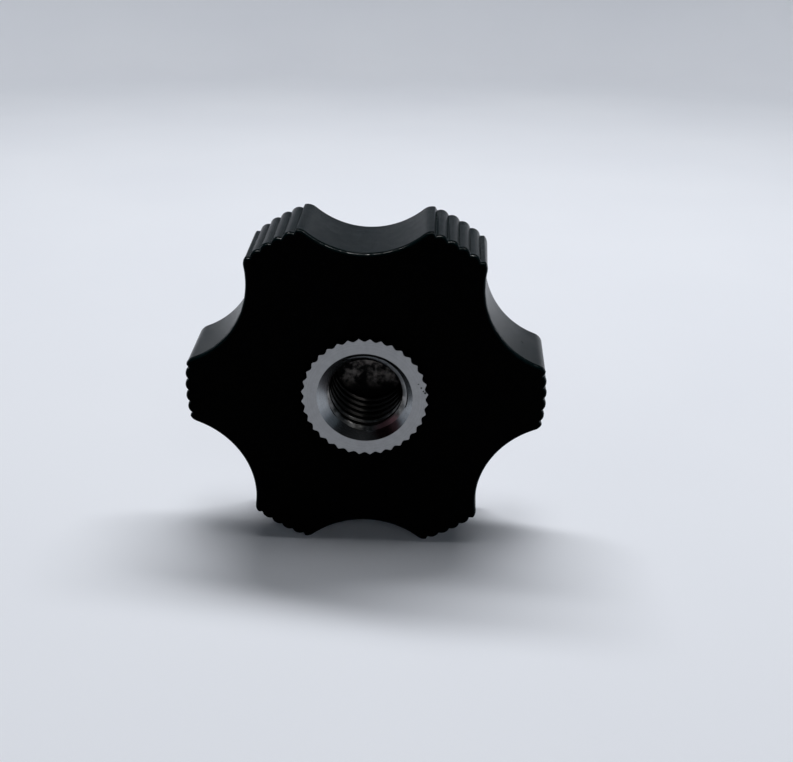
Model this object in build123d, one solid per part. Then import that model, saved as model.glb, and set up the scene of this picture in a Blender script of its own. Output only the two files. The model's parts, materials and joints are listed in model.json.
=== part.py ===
from build123d import *
import math
import os

# Star-grip hand nut: a moulded plastic head on a knurled, tapped metal bush.
# All sizes in millimetres. The thread axis lies along Y, the mouth of the thread
# faces -Y, Z is up, and the origin is on the axis, in the plane of the bush's face.
# The head stands on two of its lobes, so one lobe points along +X and one along -X.

# Head
HEAD_D = 50.0
HEAD_T = 12.0
FLOOR_T = 1.2
LOBES = 6
LOBE_TIP_R = 22.0
LOBE_CORNER_R = 1.5
SCALLOP_R = 12.2
SCALLOP_DEPTH = 4.8
DRAFT_DEG = 2.0
FRONT_EDGE_R = 0.4
BACK_EDGE_R = 0.3

# Grip grooves, along the tip of every lobe, as many as the tip has room for
GROOVE_PITCH = 1.75
GROOVE_DEPTH = 0.45
GROOVE_W = 1.3
GROOVE_BOTTOM_R = 0.1
GROOVE_TO_CORNER = 0.9

# Bush, tapped M12 x 1.75 right through; the plastic closes its far end
THREAD_D = 12.0
THREAD_PITCH = 1.75
MOUTH_OVERSIZE = 1.2
MOUTH_CONE_DEG = 90.0
BUSH_PROUD = 0.9
BUSH_TIP_D = 17.5
TEETH = 36
TOOTH_H = 0.45
TOOTH_LAND = 0.25
TOOTH_END_CHAMFER = 0.15
KEY_GROOVE_W = 2.2
KEY_GROOVE_DEPTH = 0.9

# Sizes that follow from the ones above
HEAD_R = HEAD_D / 2
LOBE_STEP = 360 / LOBES
SCALLOP_AT = HEAD_R - SCALLOP_DEPTH + SCALLOP_R
BUSH_L = BUSH_PROUD + HEAD_T - FLOOR_T
BUSH_TIP_R = BUSH_TIP_D / 2
BUSH_ROOT_R = BUSH_TIP_R - TOOTH_H
KEY_GROOVE_Y = BUSH_PROUD + (BUSH_L - BUSH_PROUD) / 2
MINOR_R = (THREAD_D - 1.0825 * THREAD_PITCH) / 2
MOUTH_R = (THREAD_D + MOUTH_OVERSIZE) / 2
MOUTH_CONE_L = (MOUTH_R - MINOR_R) / math.tan(math.radians(MOUTH_CONE_DEG / 2))


def across_axis(y):
    # sketch plane square to the thread axis: x to the right, and up the page is Z
    return Plane(origin=(0, y, 0), x_dir=(1, 0, 0), z_dir=(0, -1, 0))


def polar(r, degrees):
    return (r * math.cos(math.radians(degrees)), r * math.sin(math.radians(degrees)))


def turned(points):
    # solid of revolution about the thread axis, from (radius, y) points
    return revolve(make_face(Polyline(*points, close=True)), Axis.Y)


def lobe_corner():
    # where the tip arc of the lobe on +X meets the scallop above it
    tip_x = HEAD_R - LOBE_TIP_R
    scallop_x, scallop_z = polar(SCALLOP_AT, LOBE_STEP / 2)
    dx = scallop_x - tip_x
    apart = math.hypot(dx, scallop_z)
    along = (LOBE_TIP_R ** 2 - SCALLOP_R ** 2 + apart ** 2) / (2 * apart)
    aside = math.sqrt(LOBE_TIP_R ** 2 - along ** 2)
    x = tip_x + (along * dx + aside * scallop_z) / apart
    z = (along * scallop_z - aside * dx) / apart
    return x, z


def head_outline():
    # one arc across each lobe tip and one round each scallop, with the corners rounded
    x, z = lobe_corner()
    r = math.hypot(x, z)
    half = math.degrees(math.atan2(z, x))
    arcs = []
    for i in range(LOBES):
        lobe = i * LOBE_STEP
        scallop = lobe + LOBE_STEP / 2
        arcs.append(ThreePointArc(polar(r, lobe - half), polar(HEAD_R, lobe), polar(r, lobe + half)))
        arcs.append(ThreePointArc(
            polar(r, lobe + half),
            polar(SCALLOP_AT - SCALLOP_R, scallop),
            polar(r, lobe + LOBE_STEP - half),
        ))
    outline = make_face(arcs)
    return fillet(outline.vertices(), LOBE_CORNER_R)


def head_blank():
    # drafted so that the back is the wide end, with the edges of both faces rounded
    blank = extrude(across_axis(BUSH_PROUD) * head_outline(), -HEAD_T, taper=-DRAFT_DEG)
    front = blank.faces().filter_by(Plane.XZ).sort_by(Axis.Y)[0]
    blank = fillet(front.edges(), FRONT_EDGE_R)
    back = blank.faces().filter_by(Plane.XZ).sort_by(Axis.Y)[-1]
    return fillet(back.edges(), BACK_EDGE_R)


def grip_groove():
    # cutter for the middle groove of the lobe on +X, tilted to follow the drafted tip
    over = 1.0
    tilt = math.tan(math.radians(DRAFT_DEG))
    half_w = GROOVE_W / 2 * (1 + over / GROOVE_DEPTH)
    vee = make_face(Polyline(
        (HEAD_R - GROOVE_DEPTH, 0),
        (HEAD_R + over, half_w),
        (HEAD_R + over, -half_w),
        close=True,
    ))
    vee = fillet(vee.vertices().sort_by(Axis.X)[0], GROOVE_BOTTOM_R)
    start = across_axis(BUSH_PROUD - over) * Pos(-over * tilt, 0) * vee
    run = Vector(tilt, 1, 0)
    return extrude(start, (HEAD_T + 2 * over) * run.length, dir=run)


def groove_turns():
    # angles of one lobe's grooves about the centre of its tip arc
    x, z = lobe_corner()
    pitch = math.degrees(GROOVE_PITCH / LOBE_TIP_R)
    reach = math.degrees(math.asin(z / LOBE_TIP_R)) - math.degrees(GROOVE_TO_CORNER / LOBE_TIP_R)
    each_side = int(reach / pitch)
    return [k * pitch for k in range(-each_side, each_side + 1)]


def bush_blank():
    # straight-knurled cylinder with a ring groove that keys it into the plastic
    land = math.degrees(TOOTH_LAND / 2 / BUSH_TIP_R)
    points = []
    for i in range(TEETH):
        root = i * 360 / TEETH
        crest = root + 180 / TEETH
        points.append(polar(BUSH_ROOT_R, root))
        points.append(polar(BUSH_TIP_R, crest - land))
        points.append(polar(BUSH_TIP_R, crest + land))
    knurl = extrude(across_axis(0) * make_face(Polyline(*points, close=True)), -BUSH_L)
    c = TOOTH_END_CHAMFER
    envelope = turned([
        (0, 0),
        (BUSH_TIP_R - c, 0),
        (BUSH_TIP_R, c),
        (BUSH_TIP_R, BUSH_L - c),
        (BUSH_TIP_R - c, BUSH_L),
        (0, BUSH_L),
    ])
    ring_r = BUSH_TIP_R - KEY_GROOVE_DEPTH
    ring_half = KEY_GROOVE_W / 2
    ring = turned([
        (ring_r, KEY_GROOVE_Y - ring_half),
        (BUSH_TIP_R + 1, KEY_GROOVE_Y - ring_half),
        (BUSH_TIP_R + 1, KEY_GROOVE_Y + ring_half),
        (ring_r, KEY_GROOVE_Y + ring_half),
    ])
    return (knurl & envelope) - ring


def bore():
    # minor diameter of the thread, with the countersunk mouth
    over = 1.0
    return turned([
        (0, -over),
        (MOUTH_R + over * math.tan(math.radians(MOUTH_CONE_DEG / 2)), -over),
        (MINOR_R, MOUTH_CONE_L),
        (MINOR_R, BUSH_L + over),
        (0, BUSH_L + over),
    ])


def knob_body():
    # moulded round the bush, so its socket is the bush's own shape, with a floor behind it
    cutter = grip_groove()
    tip_centre = HEAD_R - LOBE_TIP_R
    cutters = []
    for i in range(LOBES):
        for turn in groove_turns():
            on_tip = Pos(tip_centre, 0, 0) * Rot(0, turn, 0) * Pos(-tip_centre, 0, 0)
            cutters.append(Rot(0, i * LOBE_STEP, 0) * on_tip * cutter)
    return head_blank() - cutters - bush_blank()


def threaded_insert():
    return bush_blank() - bore()


PARTS = {
    "knob_body": knob_body,
    "threaded_insert": threaded_insert,
}

os.makedirs("parts", exist_ok=True)
for name, make in PARTS.items():
    export_step(make(), "parts/" + name + ".step")
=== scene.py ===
import json
import math

import bmesh
import bpy
from mathutils import Matrix, Vector
from mathutils.geometry import intersect_line_sphere_2d


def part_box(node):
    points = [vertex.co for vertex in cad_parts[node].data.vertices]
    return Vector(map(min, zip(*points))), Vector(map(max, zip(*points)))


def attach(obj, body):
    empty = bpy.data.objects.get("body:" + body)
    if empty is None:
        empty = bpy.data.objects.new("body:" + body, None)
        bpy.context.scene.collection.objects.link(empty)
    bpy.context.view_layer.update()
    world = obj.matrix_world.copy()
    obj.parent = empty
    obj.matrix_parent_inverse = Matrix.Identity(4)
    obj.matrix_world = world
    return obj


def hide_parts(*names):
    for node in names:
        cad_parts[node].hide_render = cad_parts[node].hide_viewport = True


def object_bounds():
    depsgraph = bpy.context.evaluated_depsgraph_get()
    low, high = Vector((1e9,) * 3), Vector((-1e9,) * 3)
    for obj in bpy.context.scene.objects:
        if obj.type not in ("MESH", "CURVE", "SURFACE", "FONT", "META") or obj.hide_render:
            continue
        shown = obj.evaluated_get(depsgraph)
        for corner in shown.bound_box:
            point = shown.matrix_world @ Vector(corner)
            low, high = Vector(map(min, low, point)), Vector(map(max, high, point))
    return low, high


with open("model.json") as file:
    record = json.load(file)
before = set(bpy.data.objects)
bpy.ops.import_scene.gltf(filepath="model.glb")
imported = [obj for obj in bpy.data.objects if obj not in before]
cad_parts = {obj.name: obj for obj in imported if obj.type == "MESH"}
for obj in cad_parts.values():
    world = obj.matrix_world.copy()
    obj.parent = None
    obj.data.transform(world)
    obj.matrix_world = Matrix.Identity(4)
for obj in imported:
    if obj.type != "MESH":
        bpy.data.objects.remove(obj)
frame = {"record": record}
cad_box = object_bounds()

# ---------------------------------------------------------------------------------------
# Bush. A turned steel bar, straight-knurled, countersunk and tapped M12 right through.
# It goes into the mould first and the head is moulded round it, so the knurl and the ring
# groove hold it fast. Its face stands a little proud of the plastic. Sizes in millimetres.
# ---------------------------------------------------------------------------------------
MM = 0.001
bush_low, bush_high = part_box("threaded_insert")
head_low, head_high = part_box("knob_body")
bush_front = bush_low.y / MM
bush_back = bush_high.y / MM
head_front = head_low.y / MM
head_back = head_high.y / MM

teeth = 36
tooth_tip_r = 8.75
tooth_root_r = 8.3
tooth_half_land = 0.05
tooth_crest_rounding = 0.04
tooth_root_rounding = 0.26
tooth_end_chamfer = 0.03
ring_groove_r = 7.85
ring_groove_width = 2.2
ring_middle = (head_front + bush_back) / 2
hair = 0.004

thread_pitch = 1.75
thread_minor_r = frame["record"]["mounts"][0]["dims"]["r_mm"]
thread_major_r = 6.0
mouth_r = 6.6
turn_steps = 144
thread_cuts = 3
thread_edge = 0.06

# finish: each pair of colours is the dark and the light end of its mottling, each pair of
# depths behind the bush's face is where one finish gives way to the next, and each nick has
# its place and its radius
lathe_ring_scale = 9000.0
steel_grain_scale = 5200.0
steel_mottle_scale = 900.0
face_colours = (0.16, 0.162, 0.168, 1), (0.44, 0.445, 0.45, 1)
cone_colours = (0.17, 0.188, 0.20, 1), (0.44, 0.455, 0.47, 1)
thread_colours = (0.05, 0.05, 0.048, 1), (0.20, 0.195, 0.19, 1)
# painted shade that the thread takes on deep in the bore
thread_shade_colour = (0.022, 0.021, 0.020, 1)
# painted shade for the sides of the knurl teeth behind the bush's face
tooth_side_shade_colour = (0.012, 0.012, 0.012, 1)
reddish_patch_colour = (0.13, 0.065, 0.07, 1)
nick_colour = (0.02, 0.02, 0.022, 1)
face_roughness = 0.47
cone_roughness = 0.22
thread_roughness = 0.17
steel_bump = 0.000004
face_to_shaded_sides_y = (0.01, 0.05)
cone_to_thread_y = (0.9, 1.7)
thread_to_shade_y = (2.2, 5.5)
mouth_edge = 0.02
reddish_patch_at = (3.5, 1.2, -5.4)
reddish_patch_r = 2.9
nicks = (
    ((7.35, 0, 2.3), 0.12),
    ((7.75, 0, 1.75), 0.16),
    ((8.05, 0, 1.25), 0.15),
    ((8.3, 0, 1.0), 0.2),
)


def polar(r, degrees):
    # a point round the thread axis, counted from +X towards +Z
    return Vector((r * math.cos(math.radians(degrees)), 0, r * math.sin(math.radians(degrees))))


def open_line(bm, points):
    verts = [bm.verts.new(point) for point in points]
    for a, b in zip(verts, verts[1:]):
        bm.edges.new((a, b))
    return verts


def copy_round_axis(bm, copies):
    # repeats what the mesh holds round the thread axis, and joins the copies end to end
    bmesh.ops.spin(
        bm, geom=bm.verts[:] + bm.edges[:], cent=(0, 0, 0), axis=(0, -1, 0),
        angle=math.radians(360 * (copies - 1) / copies), steps=copies - 1, use_duplicate=True,
    )
    bmesh.ops.remove_doubles(bm, verts=bm.verts[:], dist=0.001)


def at_radius(co, y, r):
    # the point turned onto the radius r at the height y, in the direction it had
    return Vector((co.x, 0, co.z)).normalized() * r + Vector((0, y, 0))


def round_vertices(bm, verts, offset, segments):
    # rounds corners of an outline, from about the offset before each to as far after it
    bmesh.ops.bevel(
        bm, geom=verts, offset=offset, offset_type="OFFSET", segments=segments,
        profile=0.5, affect="VERTICES", material=-1, clamp_overlap=True,
    )


def knurl_level(y, most):
    # the knurl's outline at one level, turned down to the radius most
    bm = bmesh.new()
    tooth = 360 / teeth
    land = math.degrees(tooth_half_land / tooth_tip_r)
    line = open_line(bm, [
        polar(tooth_tip_r, land - tooth / 2),
        polar(tooth_root_r, 0),
        polar(tooth_tip_r, tooth / 2 - land),
        polar(tooth_tip_r, tooth / 2 + land),
    ])
    round_vertices(bm, [line[1]], tooth_root_rounding, 3)
    round_vertices(bm, [line[2]], tooth_crest_rounding, 3)
    copy_round_axis(bm, teeth)
    for vert in bm.verts:
        vert.co = at_radius(vert.co, y, min(vert.co.length, most))
    return bm


def add_mesh(bm, other):
    # moves another mesh's contents into this one
    scratch = bpy.data.meshes.new("scratch")
    other.to_mesh(scratch)
    other.free()
    bm.from_mesh(scratch)
    bpy.data.meshes.remove(scratch)


def joined_levels(levels):
    # a wall through closed outlines, none at the height of the last, or they'd join crossed
    bm = bmesh.new()
    starts = [0]
    for level in levels:
        add_mesh(bm, level)
        starts.append(len(bm.edges))
    edges = list(bm.edges)
    lines = [edges[first:last] for first, last in zip(starts, starts[1:])]
    for lower, upper in zip(lines, lines[1:]):
        bmesh.ops.bridge_loops(bm, edges=lower + upper)
    return bm


def close_end(bm, middle, is_back):
    # fills what is open behind the middle or before it, round whatever hole is there
    ends = [edge for edge in bm.edges if edge.is_boundary]
    rim = [edge for edge in ends if (edge.verts[0].co.y > middle) == is_back]
    bmesh.ops.triangle_fill(bm, use_beauty=True, edges=rim)


def piece(name, bm, materials, body, replaced, sharp_degrees):
    # millimetres to metres, doubles merged, normals outwards, and into the shared frame
    bmesh.ops.remove_doubles(bm, verts=bm.verts[:], dist=0.001)
    bmesh.ops.dissolve_degenerate(bm, edges=bm.edges[:], dist=0.001)
    bmesh.ops.recalc_face_normals(bm, faces=bm.faces[:])
    bmesh.ops.scale(bm, vec=(MM, MM, MM), verts=bm.verts[:])
    for face in bm.faces:
        face.smooth = True
    mesh = bpy.data.meshes.new(name)
    bm.to_mesh(mesh)
    bm.free()
    mesh.set_sharp_from_angle(angle=math.radians(sharp_degrees))
    for material in materials:
        mesh.materials.append(material)
    made = bpy.data.objects.new(name, mesh)
    bpy.context.scene.collection.objects.link(made)
    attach(made, body)
    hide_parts(replaced)


class Field:
    # a shader socket, or a fresh tree; sums written on it add Math nodes
    def __init__(self, tree, socket=None):
        self.tree = tree
        self.socket = socket

    def node(self, kind, settings, inputs, output=0):
        made = self.tree.nodes.new(kind)
        for name, value in settings.items():
            setattr(made, name, value)
        for name, value in inputs.items():
            if isinstance(value, Field):
                self.tree.links.new(value.socket, made.inputs[name])
            else:
                made.inputs[name].default_value = value
        return Field(self.tree, made.outputs[output]) if len(made.outputs) else None

    def maths(self, operation, *values):
        return self.node("ShaderNodeMath", {"operation": operation}, dict(enumerate(values)))

    def __add__(self, other):
        return self.maths("ADD", self, other)

    def __sub__(self, other):
        return self.maths("SUBTRACT", self, other)

    def __rsub__(self, other):
        return self.maths("SUBTRACT", other, self)

    def __mul__(self, other):
        return self.maths("MULTIPLY", self, other)

    __radd__ = __add__
    __rmul__ = __mul__

    def __pow__(self, other):
        return self.maths("POWER", self, other)


def new_finish(name):
    material = bpy.data.materials.new(name)
    material.use_nodes = True
    material.node_tree.nodes.clear()
    return material, Field(material.node_tree)


def end_finish(tree, inputs):
    shader = tree.node("ShaderNodeBsdfPrincipled", {}, inputs)
    tree.node("ShaderNodeOutputMaterial", {}, {"Surface": shader})


def noise(tree, place, scale, detail=3.0, roughness=0.5):
    return tree.node(
        "ShaderNodeTexNoise", {},
        {"Vector": place, "Scale": scale, "Detail": detail, "Roughness": roughness},
    )


def band(tree, value, low, high):
    # 0 below low, 1 above high, with a soft step between
    return tree.node(
        "ShaderNodeMapRange", {"interpolation_type": "SMOOTHSTEP"},
        {"Value": value, "From Min": low, "From Max": high, "To Min": 0.0, "To Max": 1.0},
    )


def blend_colours(tree, share, first, second):
    return tree.node(
        "ShaderNodeMix", {"data_type": "RGBA"}, {0: share, 6: first, 7: second}, output=2,
    )


def near(tree, place, spot, radius):
    # 1 at the spot, given in millimetres, and 0 from the radius outwards
    away = tree.node(
        "ShaderNodeVectorMath", {"operation": "DISTANCE"}, {0: place, 1: Vector(spot) * MM}, output=1,
    )
    return 1 - band(tree, away, radius * 0.5 * MM, radius * MM)


def steel_finish():
    # dull turned face with fine lathe rings, a smoother countersink and dark, stained threads that
    # painted shade darkens further into the bore
    material, tree = new_finish("turned_steel")
    place = tree.node("ShaderNodeTexCoord", {}, {}, output="Object")
    x = tree.node("ShaderNodeSeparateXYZ", {}, {"Vector": place}, output="X")
    y = tree.node("ShaderNodeSeparateXYZ", {}, {"Vector": place}, output="Y")
    z = tree.node("ShaderNodeSeparateXYZ", {}, {"Vector": place}, output="Z")
    radius = (x * x + z * z) ** 0.5
    face = band(tree, radius, (mouth_r - mouth_edge) * MM, (mouth_r + mouth_edge) * MM)
    deep = band(tree, y, cone_to_thread_y[0] * MM, cone_to_thread_y[1] * MM) * (1 - face)
    rings = tree.node(
        "ShaderNodeTexNoise", {"noise_dimensions": "1D"},
        {"W": radius, "Scale": lathe_ring_scale, "Detail": 2.0, "Roughness": 0.6},
    )
    grain = noise(tree, place, steel_grain_scale, 2.0)
    mottle = noise(tree, place, steel_mottle_scale, 4.0, 0.6)
    sheen = rings * 0.35 + grain * 0.3 + mottle * 0.35
    turned = blend_colours(tree, sheen, *face_colours)
    cone = blend_colours(tree, sheen, *cone_colours)
    bright = blend_colours(tree, face, cone, turned)
    # painted shade: the sides of the knurl teeth behind the bush's face are made near-black
    side = face * band(tree, y, face_to_shaded_sides_y[0] * MM, face_to_shaded_sides_y[1] * MM)
    bright = blend_colours(tree, side, bright, tooth_side_shade_colour)
    stained_and_shaded = blend_colours(tree, band(tree, mottle, 0.35, 0.65), *thread_colours)
    # painted shade: the thread turns near-black the deeper it lies in the bore
    thread_shade = band(tree, y, thread_to_shade_y[0] * MM, thread_to_shade_y[1] * MM)
    stained_and_shaded = blend_colours(tree, thread_shade, stained_and_shaded, thread_shade_colour)
    colour = blend_colours(tree, deep, bright, stained_and_shaded)
    # a reddish-brown patch low on the right of the countersink and the thread's mouth
    reddish_patch = near(tree, place, reddish_patch_at, reddish_patch_r) * (1 - face)
    colour = blend_colours(tree, reddish_patch, colour, reddish_patch_colour)
    for spot, size in nicks:
        colour = blend_colours(tree, near(tree, place, spot, size), colour, nick_colour)
    on_face = face_roughness - cone_roughness + (grain - 0.5) * 0.2
    in_thread = thread_roughness - cone_roughness + (mottle - 0.5) * 0.12
    roughness = cone_roughness + face * on_face + deep * in_thread
    height = face * (rings * 0.6 + grain * 0.4) + (1 - face) * (mottle * 0.3 + rings * 0.2)
    bump = tree.node(
        "ShaderNodeBump", {}, {"Strength": 0.5, "Distance": steel_bump, "Height": height},
    )
    end_finish(tree, {
        "Base Color": colour, "Metallic": 1.0, "Roughness": roughness, "Normal": bump,
    })
    return material


def tapped_wall():
    # one pitch profile after another along the axis, spun once round while it moves on by a
    # pitch, so that it closes on itself as a right-hand helix; the mouth is then countersunk
    bm = bmesh.new()
    flank = thread_pitch * 5 / 16
    points = []
    for turn in range(-2, math.ceil(bush_back / thread_pitch) + 1):
        start = bush_front + turn * thread_pitch
        crest_end = start + thread_pitch / 4
        points.append((thread_minor_r + thread_edge, start - thread_edge, 0))
        points.append((thread_minor_r, start + thread_edge, 0))
        points.append((thread_minor_r, crest_end - thread_edge, 0))
        points.append((thread_minor_r + thread_edge, crest_end + thread_edge, 0))
        points.append((thread_major_r, crest_end + flank, 0))
        points.append((thread_major_r, crest_end + flank + thread_pitch / 8, 0))
    open_line(bm, points)
    bmesh.ops.subdivide_edges(bm, edges=bm.edges[:], cuts=thread_cuts)
    bmesh.ops.spin(
        bm, geom=bm.verts[:] + bm.edges[:], cent=(0, 0, 0), axis=(0, 1, 0),
        dvec=(0, thread_pitch / turn_steps, 0), angle=math.radians(360), steps=turn_steps,
    )
    bmesh.ops.remove_doubles(bm, verts=bm.verts[:], dist=0.001)
    for vert in bm.verts:
        r = math.hypot(vert.co.x, vert.co.z)
        cone_r = mouth_r - (vert.co.y - bush_front)
        vert.co = at_radius(vert.co, vert.co.y, max(r, cone_r))
    for y, outwards in ((bush_front, -1), (bush_back, 1)):
        bmesh.ops.bisect_plane(
            bm, geom=bm.verts[:] + bm.edges[:] + bm.faces[:], dist=0.0001,
            plane_co=(0, y, 0), plane_no=(0, outwards, 0), clear_outer=True,
        )
    return bm


def threaded_insert():
    # the knurled outside with its ring groove, and the tapped wall inside it
    ring_start = ring_middle - ring_groove_width / 2
    ring_end = ring_middle + ring_groove_width / 2
    chamfer_r = tooth_tip_r - tooth_end_chamfer
    bm = joined_levels([
        knurl_level(bush_front, chamfer_r),
        knurl_level(bush_front + tooth_end_chamfer, tooth_tip_r),
        knurl_level(ring_start - hair, tooth_tip_r),
        knurl_level(ring_start, ring_groove_r),
        knurl_level(ring_end, ring_groove_r),
        knurl_level(ring_end + hair, tooth_tip_r),
        knurl_level(bush_back - tooth_end_chamfer, tooth_tip_r),
        knurl_level(bush_back, chamfer_r),
    ])
    add_mesh(bm, tapped_wall())
    close_end(bm, ring_middle, False)
    close_end(bm, ring_middle, True)
    return bm


piece(
    "threaded_bush", threaded_insert(), [steel_finish()], body="root",
    replaced="threaded_insert", sharp_degrees=40,
)

# ---------------------------------------------------------------------------------------
# Head. Black glass-filled plastic, injection-moulded round the bush in one shot: six reeded
# lobes with finger scallops between them, and a thin floor that closes the far end of the
# thread. The front is dead matt, the sides are smoother, and the back has a satin sheen.
# ---------------------------------------------------------------------------------------
lobes = 6
head_r = 25.0
lobe_tip_r = 22.0
lobe_corner_r = 1.5
scallop_r = 12.2
scallop_depth = 4.8
draft_degrees = 1.95
rim_r = 0.4
rim_steps = 5
rim_margin = 0.12
witness_at = 0.7
witness_w = 0.12
witness_h = 0.045
# the witness line's section, as shares of its width to each side and of its height
witness_section = ((-1, 0), (-0.3, 1), (0.3, 1), (1, 0))
dimple_segments = 48
dimple_wall = 0.05
gate_r = 2.1
gate_depth = 0.3
gate_stub_r = 0.55
gate_stub_tip_r = 0.44
gate_stub_gap = 0.06
pin_r = 1.6
pin_depth = 0.08
pin_at = 17.0

valleys = 5
reed_pitch = 1.75
reed_depth = 0.43
reed_flank_degrees = 42.0
reed_crest_rounding = 1.02
valley_rounding = 0.07
edge_reed_rounding = 0.1
corner_steps = 4
scallop_steps = 16
socket_clearance = 0.01
socket_end = bush_back + socket_clearance
SIDES, FRONT, REAR, SOCKET_END = range(4)
# faces that look along the axis nearer than this cosine belong to the front or the back
flat_from = 0.9

# finish: two polished lines run along the front edge, and their glints are broken; each speck has its
# place and its radius, and the film at the end of the thread, dusty oil with painted light, thickens
# between the two heights
rim_polish_at = 0.22
witness_polish_at = 0.628
polish_core = 0.02
polish_w = 0.09
polish_weight = 0.8
glint_scale = 900.0
cloud_scale = 800.0
dust_scale = 2300.0
dirt_colour = (0.001, 0.001, 0.001, 1)
dirt_roughness = 0.6
dirt_height = 3.0
specks_of_dirt = (((21.6, 6.9, 5.9), 0.3), ((19.6, 4.1, 7.3), 0.15))
# painted light: the light film is kept to the top of the thread's end
painted_light_film_z = (-4.2, -1.2)
film_scale = 520.0
film_and_painted_light_colour = (0.62, 0.56, 0.52, 1)
thread_end_colour = (0.002, 0.002, 0.002, 1)

tip_centre = polar(head_r - lobe_tip_r, 0)
scallop_centre = polar(head_r - scallop_depth + scallop_r, 180 / lobes)


def corner_centre():
    # centre of the corner's round, which touches the tip arc inside and the scallop outside
    to_tip = lobe_tip_r - lobe_corner_r
    to_scallop = scallop_r + lobe_corner_r
    across = scallop_centre - tip_centre
    along = (to_tip ** 2 - to_scallop ** 2 + across.length ** 2) / (2 * across.length)
    aside = math.sqrt(to_tip ** 2 - along ** 2)
    right = Vector((across.z, 0, -across.x)).normalized()
    return tip_centre + across.normalized() * along + right * aside


def turn_of(vector):
    return math.degrees(math.atan2(vector.z, vector.x))


def arc(bm, start, centre, degrees, steps):
    return bmesh.ops.spin(
        bm, geom=[start], cent=centre, axis=(0, -1, 0), angle=math.radians(degrees), steps=steps,
    )["geom_last"][0]


def head_level(y, inset):
    # the head's outline at one level, moved in by inset all round
    bm = bmesh.new()
    step = math.degrees(reed_pitch / lobe_tip_r)
    valley_r = lobe_tip_r - reed_depth - inset
    crest_r = valley_r + reed_pitch / 2 * math.tan(math.radians(reed_flank_degrees))
    points = []
    for half_step in range(1 - valleys, valleys):
        r = crest_r if (half_step + valleys) % 2 == 0 else valley_r
        points.append(tip_centre + polar(r, half_step * step / 2))
    line = open_line(bm, points)
    corners = []
    corner = corner_centre()
    next_crest = tip_centre + polar(crest_r, valleys * step / 2)
    for side in (1, -1):
        valley = line[-1] if side == 1 else line[0]
        flip = Vector((1, 1, side))
        hit = intersect_line_sphere_2d(
            (valley.co.x, valley.co.z * side), (next_crest.x, next_crest.z),
            (corner.x, corner.z), lobe_corner_r - inset, False,
        )
        edge_at = max((point for point in hit if point), key=lambda point: point.y)
        edge_at = Vector((edge_at.x, 0, edge_at.y))
        swing = turn_of(scallop_centre - corner) - turn_of(edge_at - corner)
        scallop_swing = turn_of(scallop_centre - corner) - 180 / lobes
        edge = bm.verts.new(edge_at * flip)
        bm.edges.new((valley, edge))
        corners.append(edge)
        end = arc(bm, edge, corner * flip, side * swing, corner_steps)
        arc(bm, end, scallop_centre * flip, -side * scallop_swing, scallop_steps)
    round_vertices(bm, line[1::2], reed_crest_rounding, 6)
    round_vertices(bm, line[0::2], valley_rounding, 2)
    round_vertices(bm, corners, edge_reed_rounding, 3)
    copy_round_axis(bm, lobes)
    bmesh.ops.translate(bm, vec=(0, y, 0), verts=bm.verts[:])
    return bm


def on_line(tree, y, at):
    # 1 along a line round the head, at that depth behind its front face, and 0 off it
    off = y - (head_front + at) * MM
    return 1 - band(tree, off.maths("ABSOLUTE", off), polish_core * MM, polish_w * MM)


def plastic_finish(name, colour, spread, dust_colour, specular, roughness, grain_scale, grain_depth):
    # moulded grain, faint dust and specks of dirt, with the polished lines of the front edge
    material, tree = new_finish(name)
    place = tree.node("ShaderNodeTexCoord", {}, {}, output="Object")
    y = tree.node("ShaderNodeSeparateXYZ", {}, {"Vector": place}, output="Y")
    grain = noise(tree, place, grain_scale, 3.0)
    cloud = noise(tree, place, cloud_scale, 4.0, 0.6)
    dark = tuple(value * (1 - spread) for value in colour) + (1,)
    light = tuple(value * (1 + spread) for value in colour) + (1,)
    tint = blend_colours(tree, band(tree, cloud, 0.3, 0.7), dark, light)
    dust = band(tree, noise(tree, place, dust_scale, 1.0), 0.72, 0.77)
    tint = blend_colours(tree, dust, tint, dust_colour + (1,))
    dirt = sum(near(tree, place, spot, size) for spot, size in specks_of_dirt)
    tint = blend_colours(tree, dirt, tint, dirt_colour)
    polished = sum(on_line(tree, y, at) for at in (rim_polish_at, witness_polish_at))
    broken = band(tree, noise(tree, place, glint_scale, 4.0, 0.6), 0.42, 0.62)
    rough = roughness + (grain - 0.5) * 0.16 + (cloud - 0.5) * 0.12 + dirt * dirt_roughness
    height = grain * 0.7 + cloud * 0.6 + dirt * dirt_height
    bump = tree.node(
        "ShaderNodeBump", {}, {"Strength": 0.6, "Distance": grain_depth, "Height": height},
    )
    end_finish(tree, {
        "Base Color": tint, "Roughness": rough, "Specular IOR Level": specular, "Normal": bump,
        "Coat Weight": polished * broken * polish_weight, "Coat Roughness": 0.25,
    })
    return material


def socket_end_finish():
    # what shows at the bottom of the thread: plastic with a dusty oil film across its top; the film is
    # also painted light, made light and kept to the top, where light falls in through the mouth
    material, tree = new_finish("oily_thread_end_painted_light")
    place = tree.node("ShaderNodeTexCoord", {}, {}, output="Object")
    z = tree.node("ShaderNodeSeparateXYZ", {}, {"Vector": place}, output="Z")
    cloud = noise(tree, place, film_scale, 4.0, 0.65)
    # painted light: the film is made light and kept to the top, where light falls in through the
    # mouth; its mottling is dusty oil
    film_and_painted_light = band(tree, z, painted_light_film_z[0] * MM, painted_light_film_z[1] * MM) * band(tree, cloud, 0.42, 0.72)
    tint = blend_colours(tree, film_and_painted_light, thread_end_colour, film_and_painted_light_colour)
    bump = tree.node("ShaderNodeBump", {}, {"Strength": 0.5, "Distance": 0.00003, "Height": cloud})
    end_finish(tree, {
        "Base Color": tint, "Roughness": 0.6 - film_and_painted_light * 0.15, "Specular IOR Level": 0.1, "Normal": bump,
    })
    return material


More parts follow.
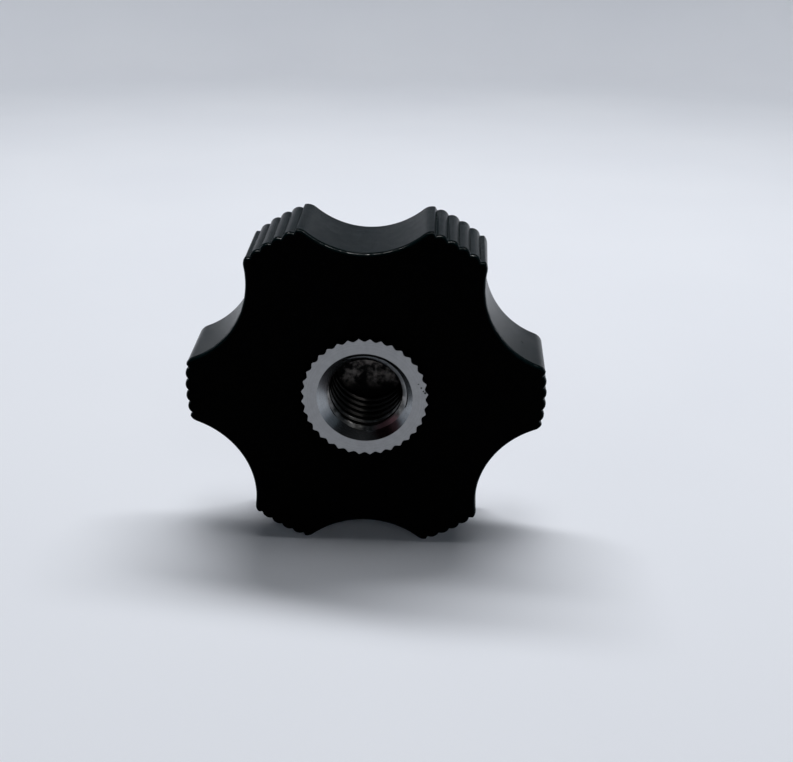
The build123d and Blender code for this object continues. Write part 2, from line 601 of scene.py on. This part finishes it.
def round_level(y, r):
    # one round outline of a dimple or a stub
    bm = bmesh.new()
    bmesh.ops.create_circle(
        bm, segments=dimple_segments, radius=r,
        matrix=Matrix.Translation((0, y, 0)) @ Matrix.Rotation(math.radians(90), 4, "X"),
    )
    return bm


def dimple(r, depth, stub=None):
    # shallow round recess in the back, round whatever stub stands on its floor
    bm = joined_levels([
        round_level(head_back - depth, r - dimple_wall),
        round_level(head_back, r),
    ])
    if stub:
        add_mesh(bm, stub)
    close_end(bm, head_back - depth / 2, False)
    return bm


def gate_recess():
    # the stub of the sprue stands in it, a little below the back
    stub = joined_levels([
        round_level(head_back - gate_depth, gate_stub_r),
        round_level(head_back - gate_stub_gap, gate_stub_tip_r),
    ])
    close_end(stub, head_back - gate_depth / 2, True)
    return dimple(gate_r, gate_depth, stub)


def pin_mark(degrees):
    # what one ejector pin leaves
    mark = dimple(pin_r, pin_depth)
    bmesh.ops.translate(mark, vec=polar(pin_at, degrees), verts=mark.verts[:])
    return mark


def head_wall():
    # drafted sides, with the edges of both faces rounded and the witness line near the front
    draft = math.tan(math.radians(draft_degrees))
    widening = (head_back - head_front) * draft
    sweeps = [math.radians(90 * i / rim_steps) for i in range(rim_steps + 1)]
    round_off = [(rim_r * (1 - math.cos(sweep)), rim_r * (1 - math.sin(sweep))) for sweep in sweeps]
    levels = [head_level(head_front, rim_r + rim_margin)]
    for deep, inset in round_off:
        levels.append(head_level(head_front + hair + deep, inset))
    for aside, height in witness_section:
        levels.append(head_level(head_front + witness_at + aside * witness_w, -height * witness_h))
    for deep, inset in reversed(round_off):
        levels.append(head_level(head_back - hair - deep, inset - widening))
    levels.append(head_level(head_back, rim_r + rim_margin - widening))
    return joined_levels(levels)


def socket_wall():
    # the bush's own shape with a trace of clearance all round
    ring_start = ring_middle - ring_groove_width / 2 + socket_clearance
    ring_end = ring_middle + ring_groove_width / 2 - socket_clearance
    levels = [
        knurl_level(head_front, tooth_tip_r),
        knurl_level(ring_start - hair, tooth_tip_r),
        knurl_level(ring_start, ring_groove_r),
        knurl_level(ring_end, ring_groove_r),
        knurl_level(ring_end + hair, tooth_tip_r),
        knurl_level(socket_end, tooth_tip_r),
    ]
    for level in levels:
        for vert in level.verts:
            r = math.hypot(vert.co.x, vert.co.z)
            vert.co = at_radius(vert.co, vert.co.y, r + socket_clearance)
    return joined_levels(levels)


def knob_body():
    middle = (head_front + head_back) / 2
    bm = head_wall()
    add_mesh(bm, gate_recess())
    for i in range(lobes):
        add_mesh(bm, pin_mark(i * 360 / lobes))
    close_end(bm, middle, True)
    socket = socket_wall()
    close_end(socket, middle, True)
    add_mesh(bm, socket)
    close_end(bm, middle, False)
    for face in bm.faces:
        at = face.calc_center_median()
        if abs(at.y - socket_end) < socket_clearance:
            face.material_index = SOCKET_END
        elif abs(face.normal.y) < flat_from:
            face.material_index = SIDES
        else:
            face.material_index = FRONT if at.y < middle else REAR
    return bm


sides = plastic_finish(
    "black_moulded_sides", colour=(0.0008, 0.0040, 0.0046), spread=0.3,
    dust_colour=(0.012, 0.014, 0.014), specular=0.028, roughness=0.23,
    grain_scale=5000.0, grain_depth=0.00002,
)
# painted shade: the front's plastic is given a far darker colour than the same plastic on the sides
# and back, as the front faces away from the main lamps
front = plastic_finish(
    "shaded_black_matt_front", colour=(0.0004, 0.0004, 0.00045), spread=0.4,
    dust_colour=(0.003, 0.003, 0.0035), specular=0.01, roughness=0.75,
    grain_scale=7000.0, grain_depth=0.00001,
)
rear = plastic_finish(
    "black_satin_back", colour=(0.0060, 0.0066, 0.0068), spread=0.15,
    dust_colour=(0.014, 0.015, 0.015), specular=0.25, roughness=0.42,
    grain_scale=6000.0, grain_depth=0.000008,
)
piece(
    "star_head", knob_body(), [sides, front, rear, socket_end_finish()], body="root",
    replaced="knob_body", sharp_degrees=45,
)

# ---------------------------------------------------------------------------------------
# Studio. The knob stands on two lobes on a pale paper floor that curves up all round into a wall, with
# painted shade that turns the wall grey with height. One long soft strip lamp hangs above and behind
# it, a weak one straight above lightens its shadow, and a very weak one in front lights the bush.
# ---------------------------------------------------------------------------------------
floor_r = 0.45
floor_cove_r = 0.15
floor_wall = 0.22
shade_from = 0.005
shade_to = 0.22
cove_steps = 12
sweep_steps = 96
paper_colours = (0.80, 0.83, 0.90, 1), (0.86, 0.89, 0.95, 1)
painted_shade_paper_colour = (0.17, 0.195, 0.215, 1)
world_colour = (0.85, 0.92, 1.0, 1)
world_strength = 0.008


def paper_finish():
    material, tree = new_finish("white_paper")
    place = tree.node("ShaderNodeTexCoord", {}, {}, output="Object")
    cloud = noise(tree, place, 14.0, 2.0)
    tint = blend_colours(tree, cloud, *paper_colours)
    z = tree.node("ShaderNodeSeparateXYZ", {}, {"Vector": place}, output="Z")
    ground = cad_box[0].z
    # painted shade: the paper greys up the wall
    painted_wall_shade = band(tree, z, ground + shade_from, ground + shade_to)
    tint = blend_colours(tree, painted_wall_shade, tint, painted_shade_paper_colour)
    end_finish(tree, {"Base Color": tint, "Roughness": 0.9, "Specular IOR Level": 0.1})
    return material


def paper_floor():
    # half of its section, spun round the upright axis
    bm = bmesh.new()
    ground = cad_box[0].z
    line = open_line(bm, [(0, 0, ground), (floor_r, 0, ground)])
    end = bmesh.ops.spin(
        bm, geom=[line[-1]], cent=(floor_r, 0, ground + floor_cove_r), axis=(0, -1, 0),
        angle=math.radians(90), steps=cove_steps,
    )["geom_last"][0]
    top = bm.verts.new(end.co + Vector((0, 0, floor_wall)))
    bm.edges.new((end, top))
    bmesh.ops.spin(
        bm, geom=bm.verts[:] + bm.edges[:], cent=(0, 0, 0), axis=(0, 0, 1),
        angle=math.radians(360), steps=sweep_steps, use_merge=True,
    )
    bmesh.ops.remove_doubles(bm, verts=bm.verts[:], dist=0.00001)
    bmesh.ops.recalc_face_normals(bm, faces=bm.faces[:])
    bmesh.ops.reverse_faces(bm, faces=bm.faces[:])
    for face in bm.faces:
        face.smooth = True
    mesh = bpy.data.meshes.new("paper_floor")
    bm.to_mesh(mesh)
    bm.free()
    mesh.materials.append(paper_finish())
    floor = bpy.data.objects.new("paper_floor", mesh)
    bpy.context.scene.collection.objects.link(floor)


def soft_lamp(name, place, width, depth, power):
    # a rectangular lamp aimed at the origin
    light = bpy.data.lights.new(name, "AREA")
    light.shape = "RECTANGLE"
    light.size = width
    light.size_y = depth
    light.energy = power
    lamp = bpy.data.objects.new(name, light)
    lamp.location = place
    lamp.rotation_mode = "QUATERNION"
    lamp.rotation_quaternion = Vector(place).to_track_quat("Z", "Y")
    bpy.context.scene.collection.objects.link(lamp)


paper_floor()
soft_lamp("strip_lamp_behind", place=(0.03, 0.206, 0.51), width=0.64, depth=0.06, power=2.6)
soft_lamp("overhead_lamp", place=(0.02, 0.03, 0.9), width=0.3, depth=0.3, power=1.5)
soft_lamp("low_front_lamp", place=(0.13, -0.60, 0.42), width=0.3, depth=0.03, power=0.16)

world = bpy.data.worlds.new("studio")
world.use_nodes = True
world.node_tree.nodes["Background"].inputs["Color"].default_value = world_colour
world.node_tree.nodes["Background"].inputs["Strength"].default_value = world_strength
bpy.context.scene.world = world
bpy.context.scene.view_settings.view_transform = "Standard"

# ---------------------------------------------------------------------------------------
# Camera, close to the knob and looking down on it a little from the mouth side.
# ---------------------------------------------------------------------------------------
view_azimuth = 1.90
view_elevation = 24.59
view_roll = 0.67
view_distance = 0.1402
view_target = Vector((0.00433, head_front * MM, 0.00231))
lens_mm = 46.52

turn = math.radians(view_azimuth)
rise = math.radians(view_elevation)
back = Vector((math.sin(turn) * math.cos(rise), -math.cos(turn) * math.cos(rise), math.sin(rise)))
camera_data = bpy.data.cameras.new("camera")
camera_data.lens = lens_mm
camera_data.clip_start = 0.005
camera = bpy.data.objects.new("camera", camera_data)
camera.rotation_mode = "QUATERNION"
aimed = (-back).to_track_quat("-Z", "Y").to_matrix() @ Matrix.Rotation(math.radians(view_roll), 3, "Z")
camera.rotation_quaternion = aimed.to_quaternion()
camera.location = view_target + back * view_distance
bpy.context.scene.collection.objects.link(camera)
bpy.context.scene.camera = camera
